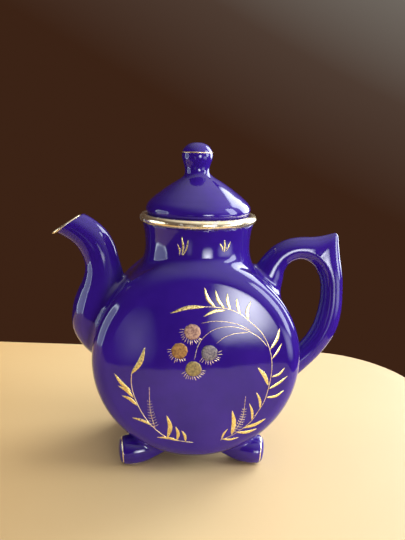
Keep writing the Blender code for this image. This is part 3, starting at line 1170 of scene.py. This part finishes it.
class Brush:
    """Lays strokes of raised gold on a surface as one closed piece."""

    ACROSS = (-1.0, -0.62, 0.0, 0.62, 1.0)
    RISE = (-0.05, 0.07, 0.10, 0.07, -0.05)
    DEPTH = 0.24
    LEAF_STEP = 0.9
    LEAF_END = 0.22

    def __init__(self, surface: Distance) -> None:
        """Choose the surface to paint on."""
        self.surface = surface
        self.strokes: List[Stroke] = []

    def line(self, points: Rows, width: float, taper: Pair = (1.0, 1.0), step: float = 1.3) -> None:
        """Pull a line.

        Args:
            points: points on the surface, in millimetres.
            width: its width.
            taper: share of the width at its start and at its end.
            step: length of one segment.
        """
        path = hermite(points, spread=3, step=step)
        share = np.linspace(0.0, 1.0, len(path))
        ends = np.minimum(1.0, np.minimum(share, 1.0 - share) * len(path) * 0.7 + 0.25)
        self.strokes.append(Stroke(path, width * ends * (taper[0] + (taper[1] - taper[0]) * share)))

    def leaf(self, base: Sequence[float], tip: Sequence[float], middle: Sequence[float], width: float,
             fullest: float = 0.45) -> None:
        """Press a leaf between its base and tip, through a middle point, fullest part of the way along."""
        path = hermite([base, middle, tip], spread=3, step=self.LEAF_STEP)
        share = np.linspace(0.0, 1.0, len(path))
        power = math.log(0.5) / math.log(fullest)
        self.strokes.append(Stroke(path, self.LEAF_END + width * np.sin(math.pi * share**power) ** 0.85))

    def lay(self) -> Tuple[Array, List[List[int]]]:
        """Drop every stroke onto the surface.

        Returns:
            Vertices in millimetres and the faces between them.
        """
        points: List[Array] = []
        faces: List[List[int]] = []
        across, rise = np.array(self.ACROSS), np.array(self.RISE)
        start = 0
        for stroke in self.strokes:
            spine, normals = settle(self.surface, stroke.points)
            heading = np.gradient(spine, axis=0)
            side = np.cross(normals, heading)
            side /= np.linalg.norm(side, axis=1)[:, None]
            reach = stroke.widths[:, None, None] / 2.0 * across[None, :, None]
            spots = spine[:, None, :] + side[:, None, :] * reach
            flat, outward = settle(self.surface, spots.reshape(-1, 3))
            lifts = np.tile(rise, len(spine))[:, None]
            top = (flat + outward * lifts).reshape(len(spine), len(across), 3)
            under = top[:, (3, 1), :] - outward.reshape(top.shape)[:, (3, 1), :] * self.DEPTH
            rings = np.concatenate([top, under], axis=1)
            size = rings.shape[1]
            faces += belts(len(spine), size, False, start)
            faces.append([start + j for j in range(size)])
            faces.append([start + (len(spine) - 1) * size + j for j in reversed(range(size))])
            points.append(rings.reshape(-1, 3))
            start += len(spine) * size
        return np.concatenate(points), faces


class Garland:
    """The wreath on the front face: sprays, ferns and four bristly flowers."""

    # Points on the face are given as x and height above the drum's middle.
    HANDLE_STEM = (
        (17.6, -54.2), (24.7, -51.0), (31.6, -46.2), (38.4, -39.8), (43.6, -31.1), (47.4, -23.2),
        (49.1, -16.3), (50.6, -7.1), (51.2, 1.9), (50.3, 10.0), (47.9, 18.2), (43.2, 26.8), (34.6, 35.3),
        (29.6, 39.5),
        (22.8, 43.2), (15.3, 45.1), (7.3, 45.8), (1.0, 45.9),
    )
    SPOUT_STEM = (
        (-44.9, -1.6), (-45.0, -10.6), (-43.0, -19.6), (-39.0, -29.7), (-33.5, -39.1), (-27.2, -46.4),
        (-20.1, -52.0), (-10.9, -54.6), (-1.8, -55.9),
    )
    FLOWER_STEMS = (
        ((47.2, 17.6), (41.9, 23.6), (34.8, 28.4), (27.9, 31.3), (19.7, 32.4), (11.0, 30.8), (4.4, 26.4),
         (-0.1, 19.8), (-2.6, 9.2)),
        ((34.8, 29.4), (27.8, 33.2), (17.6, 35.8), (9.0, 36.2), (1.6, 34.8)),
        ((33.4, 28.2), (24.6, 27.6), (17.9, 25.4), (12.0, 20.9)),
    )
    # Leaves: base, tip, sideways bend and greatest width.
    HANDLE_LEAVES = (
        ((4.0, 45.9), (-19.0, 41.2), 1.6, 2.8), ((17.4, 43.6), (2.8, 39.3), 1.4, 2.2),
        ((10.7, 45.4), (3.1, 58.6), -1.6, 2.6), ((16.7, 44.9), (10.4, 56.8), -1.3, 2.2),
        ((20.8, 43.6), (18.3, 54.8), -0.9, 2.2), ((27.6, 40.6), (24.8, 51.6), -0.7, 2.0),
        ((33.2, 36.2), (34.3, 49.4), -1.6, 2.6),
        ((49.3, 15.6), (55.2, 30.2), 1.3, 2.6), ((50.8, 8.6), (57.2, 19.6), 0.6, 1.7),
        ((51.4, -4.9), (60.4, 1.5), 1.6, 1.8), ((49.8, -14.0), (62.9, -5.0), 0.6, 2.0),
        ((48.8, -20.6), (61.0, -15.9), 1.8, 2.1), ((33.7, -44.6), (49.5, -37.8), 1.0, 2.9),
        ((29.0, -48.2), (43.4, -46.0), 1.2, 2.6), ((18.8, -53.4), (30.5, -52.4), 1.2, 1.7),
        ((49.4, -11.2), (41.0, 2.8), 1.2, 3.1), ((44.6, -28.8), (41.2, -16.2), 1.2, 2.0),
        ((39.4, -38.6), (36.9, -24.8), 1.0, 1.9), ((25.4, -50.0), (24.8, -29.6), 1.4, 3.6),
        ((18.3, -53.5), (22.4, -44.6), -0.6, 1.5),
    )
    SPOUT_LEAVES = (
        ((-44.9, -2.2), (-35.9, 17.2), 1.6, 3.8), ((-45.3, -15.6), (-56.6, -2.9), -0.9, 2.8),
        ((-43.6, -20.4), (-54.2, -11.7), 1.1, 2.6), ((-41.4, -26.2), (-51.6, -19.1), 1.2, 2.8),
        ((-31.6, -41.6), (-44.8, -36.3), 0.9, 2.4), ((-12.0, -54.5), (-27.4, -51.8), 0.9, 2.2),
        ((-20.0, -51.9), (-20.7, -33.5), 2.0, 3.6), ((-13.2, -54.0), (-14.5, -42.3), 1.2, 2.6),
        ((-7.2, -55.0), (-10.2, -45.7), 0.9, 2.1),
    )
    FERNS = (((26.6, -48.6), (31.8, -38.0), (33.8, -18.6)), ((-28.8, -44.6), (-31.9, -31.0), (-32.9, -11.4)))
    # Flower heads: middle, angle of the middle of their bristles, half spread, number of bristles.
    FLOWERS = (
        ((-4.3, 28.8), -118.0, 78.0, 13), ((-12.7, 15.5), -125.0, 62.0, 10),
        ((7.4, 14.2), -72.0, 72.0, 11), ((-3.1, 2.7), -88.0, 72.0, 12),
    )

    HEAD_RADIUS = 5.7
    HEAD_RINGS = 6
    HEAD_SECTORS = 44
    BRISTLE = 2.9
    BRISTLE_LINE = 0.46
    STEM_LINE = 0.70
    THIN_LINE = 0.48
    RIB_LINE = 0.5
    BARBS = 10
    BARB = 3.5
    BARB_LOSS = 0.16  # how much shorter each barb is than the one below it
    BARB_LINE = 0.44
    WOBBLE = 0.045  # how unevenly a flower head's edge is dabbed, as a share of its radius
    DAB = 0.20
    DAB_WAVE = 0.05
    HEART = 0.22  # how thick a flower head is in its middle
    HEAD_DEPTH = 0.12

    def __init__(self, pot: Pot, maker: Maker, palette: Palette) -> None:
        """Take up the brush.

        Args:
            pot: the ware to paint on.
            maker: makes the pieces.
            palette: the finishes.
        """
        self.pot, self.maker, self.palette = pot, maker, palette
        self.dice = random.Random(7)

    def spot(self, x: float, up: float) -> Triple:
        """Give a point on the face from its place beside and above the drum's middle."""
        drum = self.pot.drum
        return (x, -(drum.face_y - drum.fall() * (x * x + up * up)), drum.middle_z + up)

    def brush(self) -> Brush:
        """Take a clean brush for the drum's face."""
        return Brush(self.pot.drum.distance)

    def finish(self, name: str, brush: Brush, material: Material) -> Item:
        """Turn what a brush has laid into a piece."""
        points, faces = brush.lay()
        return self.maker.piece(name, points, faces, [material], POT, "flask_body")

    def leaves(self, brush: Brush, leaves: Sequence[Tuple[Pair, Pair, float, float]]) -> None:
        """Press every leaf of a spray."""
        for base, tip, bend, width in leaves:
            bx, bz = base
            tx, tz = tip
            long = math.hypot(tx - bx, tz - bz)
            middle = ((bx + tx) / 2.0 + bend * (tz - bz) / long, (bz + tz) / 2.0 - bend * (tx - bx) / long)
            brush.leaf(self.spot(*base), self.spot(*tip), self.spot(*middle), width)

    def spray(self, side: Side) -> None:
        """Paint one side's stem and leaves."""
        handle = side is Side.HANDLE
        stem = self.brush()
        path = self.HANDLE_STEM if handle else self.SPOUT_STEM
        stem.line([self.spot(*p) for p in path], self.STEM_LINE, (0.8, 0.8))
        leaves = self.brush()
        self.leaves(leaves, self.HANDLE_LEAVES if handle else self.SPOUT_LEAVES)
        label = side.name.lower()
        self.finish(f"wreath_stem_{label}", stem, self.palette.line_gold)
        self.finish(f"wreath_leaves_{label}", leaves, self.palette.leaf_gold)

    def fern(self, side: Side) -> None:
        """Paint one side's fern: a bent rib with short barbs that get longer towards its foot."""
        rib = self.FERNS[0] if side is Side.HANDLE else self.FERNS[1]
        brush = self.brush()
        brush.line([self.spot(*p) for p in rib], self.RIB_LINE, (0.9, 0.7))
        path = hermite(rib, self.BARBS + 6)
        for k in range(1, self.BARBS + 1):
            ahead = path[k + 1] - path[k]
            ahead /= np.linalg.norm(ahead)
            reach = self.BARB - self.BARB_LOSS * k
            for hand in (-1.0, 1.0):
                across = np.array((ahead[1], -ahead[0])) * hand
                tip = path[k] + across * reach * 0.92 + ahead * reach * 0.30
                mid = path[k] + across * reach * 0.50 + ahead * reach * 0.04
                brush.line([self.spot(*p) for p in (path[k], mid, tip)], self.BARB_LINE, (1.0, 0.7), 0.8)
        self.finish(f"fern_{side.name.lower()}", brush, self.palette.line_gold)

    def flower(self, number: int, middle: Pair, facing: float, spread: float, count: int) -> None:
        """Paint a flower head as a dabbed disc, with a fringe of bristles on one side."""
        drum, radius, rings, sectors = self.pot.drum, self.HEAD_RADIUS, self.HEAD_RINGS, self.HEAD_SECTORS
        edge = [1.0 + self.dice.uniform(-self.WOBBLE, self.WOBBLE) for _ in range(sectors)]
        flat, levels = [], []
        for ring in range(rings + 1):
            share = ring / rings
            for k in range(sectors):
                turn = 2.0 * math.pi * k / sectors
                reach = radius * share * (1.0 + (edge[k] - 1.0) * share**2)
                flat.append(self.spot(middle[0] + reach * math.cos(turn), middle[1] + reach * math.sin(turn)))
                dab = self.DAB + self.DAB_WAVE * math.sin(3.0 * turn + number) * share if ring else self.HEART
                levels.append(dab if ring < rings else Brush.RISE[0])
        spots, outward = settle(drum.distance, np.array(flat))
        top = spots + outward * np.array(levels)[:, None]
        centre_top = top[:sectors].mean(axis=0)
        points = np.concatenate([[centre_top], top[sectors:]])
        base = len(points)
        back = top[-sectors:] - outward[-sectors:] * self.HEAD_DEPTH
        centre_back = back.mean(axis=0) + outward[0] * Brush.RISE[0]
        points = np.concatenate([points, back, [centre_back]])
        faces = [face[::-1] for face in belts(rings + 1, sectors, False, 1)]
        for k in range(sectors):
            after = (k + 1) % sectors
            faces.append([0, 1 + after, 1 + k])
            faces.append([base + k, base + after, len(points) - 1])
        lustre = self.palette.lustres[number]
        self.maker.piece(f"flower_head_{number + 1}", points, faces, [lustre], POT, "flask_body")
        brush = self.brush()
        for fan in np.linspace(-spread, spread, count):
            angle = math.radians(facing + fan + self.dice.uniform(-2.5, 2.5))
            reach = radius + self.BRISTLE + self.dice.uniform(-0.5, 0.6)
            lean = angle + math.radians(self.dice.uniform(2.0, 9.0))
            ends = []
            for turn, away in ((angle, radius - 0.2), (lean, reach)):
                ends.append(self.spot(middle[0] + away * math.cos(turn), middle[1] + away * math.sin(turn)))
            brush.line(ends, self.BRISTLE_LINE, (0.8, 1.25), 0.8)
        self.finish(f"flower_bristles_{number + 1}", brush, self.palette.line_gold)

    def build(self) -> None:
        """Paint the whole wreath."""
        for side in (Side.HANDLE, Side.SPOUT):
            self.spray(side)
            self.fern(side)
        stems = self.brush()
        for path in self.FLOWER_STEMS:
            stems.line([self.spot(*p) for p in path], self.THIN_LINE, (1.0, 0.8))
        self.finish("flower_stems", stems, self.palette.line_gold)
        for number, flower in enumerate(self.FLOWERS):
            self.flower(number, *flower)


@dataclass
class NeckTuft:
    """Three blades of grass on the front of the neck: angle from the front, and height, of each end."""

    name: str
    blades: Sequence[Tuple[Pair, Pair, float]]

    BOW = 1.0  # how far a blade's middle stands off the straight, in degrees round the neck

    def build(self, pot: Pot, maker: Maker, palette: Palette) -> Item:
        """Paint the tuft.

        Args:
            pot: the ware to paint on.
            maker: makes the piece.
            palette: the finishes.

        Returns:
            The tuft.
        """
        brush = Brush(pot.neck.distance)
        radius = pot.neck.waist_radius
        for base, tip, width in self.blades:
            ends = []
            middle = ((base[0] + tip[0]) / 2.0 + self.BOW, (base[1] + tip[1]) / 2.0)
            for degrees, height in (base, middle, tip):
                angle = math.radians(degrees)
                ends.append((radius * math.sin(angle), -radius * math.cos(angle), height))
            brush.leaf(ends[0], ends[2], ends[1], width, 0.5)
        points, faces = brush.lay()
        return maker.piece(self.name, points, faces, [palette.leaf_gold], POT, "neck")


TUFTS = (
    NeckTuft("neck_tuft_spout", (
        ((-20.6, 161.2), (-23.0, 169.2), 0.9), ((-17.9, 161.2), (-18.3, 174.2), 1.2),
        ((-16.9, 161.2), (-11.8, 172.4), 1.0),
    )),
    NeckTuft("neck_tuft_handle", (
        ((24.2, 164.0), (20.0, 169.8), 0.9), ((25.6, 163.6), (24.6, 172.4), 1.3),
        ((27.3, 164.0), (32.2, 170.8), 1.0),
    )),
)


@dataclass
class FootGilding:
    """A gold line round a foot's outer end and another along its sole."""

    end_line: float = 1.2
    sole_line: float = 1.6
    end_at: float = 0.9
    sole_z: float = 2.1
    sole_from: float = 0.6
    sole_run: float = 15.0
    sweep: float = math.radians(150.0)
    floor_gap: float = 0.15

    def build(self, name: str, foot: Foot, pot: Pot, maker: Maker, palette: Palette) -> Item:
        """Paint both lines on one foot.

        Args:
            name: the foot's name.
            foot: its form.
            pot: the ware to paint on.
            maker: makes the piece.
            palette: the finishes.

        Returns:
            The gilding.
        """
        brush = Brush(pot.outside)
        arc = [foot.around(self.end_at, angle) for angle in np.linspace(-self.sweep, self.sweep, 15)]
        arc = [p for p in arc if p[2] > self.sole_z]
        brush.line(arc, self.end_line, step=1.6)
        for hand in (-1.0, 1.0):
            run = []
            for inward in np.linspace(self.sole_from, self.sole_run, 7):
                run.append(foot.around(inward, hand * foot.angle_at(inward, self.sole_z)))
            brush.line(run, self.sole_line, (1.0, 0.3), 1.6)
        points, faces = brush.lay()
        points[:, 2] = np.maximum(points[:, 2], self.floor_gap)
        return maker.piece(f"gilding_{name}", points, faces, [palette.band_gold], POT, name)


# ---------------------------------------------------------------- studio


def sheet(name: str, corners: Sequence[Triple], finish: Material) -> Item:
    """Make one flat stage surface."""
    mesh = bpy.data.meshes.new(name)
    mesh.from_pydata(list(corners), [], [tuple(range(len(corners)))])
    mesh.materials.append(finish)
    item = bpy.data.objects.new(name, mesh)
    bpy.context.scene.collection.objects.link(item)
    return item


@dataclass
class SoftBox:
    """A soft light panel that faces the pot, brightest in its middle.

    Its bearing is in degrees from straight in front of the pot towards the handle, and its rise in degrees.
    """

    name: str
    bearing: float
    rise: float
    reach: float
    size: Pair
    glow: float
    colour: Triple = (1.0, 1.0, 1.0)
    core: float = 0.55
    inside: float = 1.0
    aim: Triple = (0.0, 0.0, 0.12)

    SQUARENESS = 4.0
    FRAME = 0.10

    def place(self) -> Vector:
        """Give where the panel hangs."""
        turn, lift = math.radians(self.bearing), math.radians(self.rise)
        away = Vector((math.sin(turn) * math.cos(lift), -math.cos(turn) * math.cos(lift), math.sin(lift)))
        return Vector(self.aim) + away * self.reach

    def build(self) -> None:
        """Hang the panel.

        Glow is its brightness as seen in a mirror, core the share of its size that is fully lit, and inside
        the share of the glow within that core, less than one for a window with a bright frame.
        """
        wide, high = self.size[0] / 2.0, self.size[1] / 2.0
        corners = ((-wide, -high, 0.0), (wide, -high, 0.0), (wide, high, 0.0), (-wide, high, 0.0))
        item = sheet(self.name, corners, self.lit_cloth())
        item.location = self.place()
        item.rotation_mode = "QUATERNION"
        item.rotation_quaternion = (Vector(self.aim) - self.place()).to_track_quat("Z", "Y")
        item.visible_camera = False

    def lit_cloth(self) -> Material:
        """Give the panel's glowing cloth, which fades towards its edges."""
        bench = Bench(self.name)
        parts = bench.node("ShaderNodeSeparateXYZ", {"Vector": bench.place()})
        powers = []
        for axis, whole in zip("XY", self.size):
            share = bench.reckon("DIVIDE", parts.outputs[axis], whole / 2.0)
            powers.append(bench.reckon("POWER", share, self.SQUARENESS))
        away = bench.reckon("POWER", bench.reckon("ADD", *powers), 1.0 / self.SQUARENESS)
        fade = bench.span(away, 1.0, 0.0, self.core, 1.0)
        if self.inside < 1.0:
            pane = bench.span(away, self.inside, 1.0, self.core - self.FRAME, self.core)
            fade = bench.reckon("MULTIPLY", fade, pane)
        power = bench.reckon("MULTIPLY", fade, self.glow)
        cloth = bench.node("ShaderNodeEmission", {"Color": (*self.colour, 1.0), "Strength": power})
        bench.tree.links.new(cloth.outputs[0], bench.tree.nodes["Material Output"].inputs["Surface"])
        return bench.material


@dataclass
class Studio:
    """Table, lights, room and camera."""

    lens: float = 33.33
    sensor: float = 36.0
    eye: Triple = (-0.0209, -0.363, 0.232)
    yaw: float = math.radians(3.4)
    pitch: float = math.radians(13.8)
    roll: float = math.radians(1.58)
    room: Stops = (
        (0.0, (0.045, 0.016, 0.007)), (0.54, (0.045, 0.017, 0.008)), (0.64, (0.075, 0.045, 0.032)),
        (0.72, (0.16, 0.14, 0.12)),
        (0.82, (0.50, 0.47, 0.46)), (1.0, (1.20, 1.15, 1.10)),
    )
    room_tilt: float = 0.5
    table_low: Pair = (-0.62, -0.24)
    table_high: Pair = (0.225, 0.191)
    table_corner: float = 0.10
    table_turn: float = math.radians(-4.2)
    lights: Sequence[SoftBox] = (
        SoftBox("window_right_front", 78.0, 20.0, 1.05, (0.40, 1.05), 9.5, (0.88, 0.95, 1.0), 0.85),
        SoftBox("window_right_back", 126.0, 22.0, 1.00, (0.70, 1.10), 8.5, (0.88, 0.95, 1.0), 0.85),
        SoftBox("panel_front_right", 19.0, -3.0, 1.20, (0.54, 0.60), 20.0, (0.93, 0.96, 1.0), 0.15),
        SoftBox("panel_right_low", 60.0, -10.0, 1.10, (0.80, 0.40), 4.0, (0.90, 0.93, 1.0), 0.30),
        SoftBox("window_left", -87.0, 3.0, 1.00, (0.68, 0.64), 9.0, (0.80, 0.93, 1.0), 0.90, 0.22),
        SoftBox("panel_front_left", -19.0, -14.0, 1.00, (0.26, 0.38), 1.1, (1.0, 0.96, 0.98), 0.20),
    )

    def build(self) -> None:
        """Set up the whole studio."""
        self.table()
        for light in self.lights:
            light.build()
        self.world()
        self.camera()

    def table(self) -> None:
        """Lay the pale table top."""
        # The darker, warmer spout side and the darker handle side are painted shade.
        pale = TableTop("pale_table", (0.72, 0.42, 0.15), (0.80, 0.59, 0.31), (0.68, 0.46, 0.25))
        edge = []
        (x0, y0), (x1, y1), corner = self.table_low, self.table_high, self.table_corner
        middles = ((x1 - corner, y1 - corner), (x0 + corner, y1 - corner),
                   (x0 + corner, y0 + corner), (x1 - corner, y0 + corner))
        for quarter, (x, y) in enumerate(middles):
            for angle in np.linspace(0.0, math.pi / 2.0, 13) + quarter * math.pi / 2.0:
                spot = Vector((x + corner * math.cos(angle), y + corner * math.sin(angle), 0.0))
                edge.append(tuple(Matrix.Rotation(self.table_turn, 3, "Z") @ spot))
        sheet("table", edge, pale.make())

    def world(self) -> None:
        """Fill the room with a little light, brighter overhead and towards the handle's side."""
        world = bpy.data.worlds.new("room")
        world.use_nodes = True
        tree = world.node_tree
        parts = tree.nodes.new("ShaderNodeSeparateXYZ")
        tree.links.new(tree.nodes.new("ShaderNodeTexCoord").outputs["Generated"], parts.inputs[0])
        height = tree.nodes.new("ShaderNodeMapRange")
        height.inputs["From Min"].default_value = -1.0
        lean = tree.nodes.new("ShaderNodeMath")
        lean.operation = "MULTIPLY_ADD"
        lean.inputs[1].default_value = self.room_tilt
        tree.links.new(parts.outputs["X"], lean.inputs[0])
        tree.links.new(parts.outputs["Z"], lean.inputs[2])
        tree.links.new(lean.outputs[0], height.inputs["Value"])
        fade = tree.nodes.new("ShaderNodeValToRGB")
        set_stops(fade, self.room)
        tree.links.new(height.outputs["Result"], fade.inputs["Fac"])
        tree.links.new(fade.outputs["Color"], tree.nodes["Background"].inputs["Color"])
        bpy.context.scene.world = world
        bpy.context.scene.view_settings.view_transform = "Standard"

    def camera(self) -> None:
        """Stand the camera in front, a little above the pot."""
        data = bpy.data.cameras.new("camera")
        data.lens = self.lens
        data.sensor_width = self.sensor
        item = bpy.data.objects.new("camera", data)
        bpy.context.scene.collection.objects.link(item)
        level = Vector((math.sin(self.yaw), math.cos(self.yaw), 0.0))
        forward = level * math.cos(self.pitch) - Vector((0.0, 0.0, math.sin(self.pitch)))
        right = Vector((math.cos(self.yaw), -math.sin(self.yaw), 0.0))
        up = right.cross(forward)
        across = right * math.cos(self.roll) + up * math.sin(self.roll)
        upright = up * math.cos(self.roll) - right * math.sin(self.roll)
        turn = Matrix((across, upright, -forward)).transposed()
        item.matrix_world = Matrix.Translation(Vector(self.eye)) @ turn.to_4x4()
        bpy.context.scene.camera = item


def main() -> None:
    """Build the teapot and its studio, reporting each piece."""
    logging.basicConfig(level=logging.INFO, format="%(message)s")
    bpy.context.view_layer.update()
    palette = Palette()
    pot = Pot()
    maker = Maker(pot.neck_x)
    pot.build(maker, palette)
    MouthBead().build(pot, maker, palette)
    pot.spout.lip_bead(maker, palette)
    Lid().build(maker, palette)
    Garland(pot, maker, palette).build()
    for tuft in TUFTS:
        tuft.build(pot, maker, palette)
    gilder = FootGilding()
    for name, foot in pot.feet.items():
        gilder.build(name, foot, pot, maker, palette)
    Studio().build()


if __name__ == "__main__":
    main()
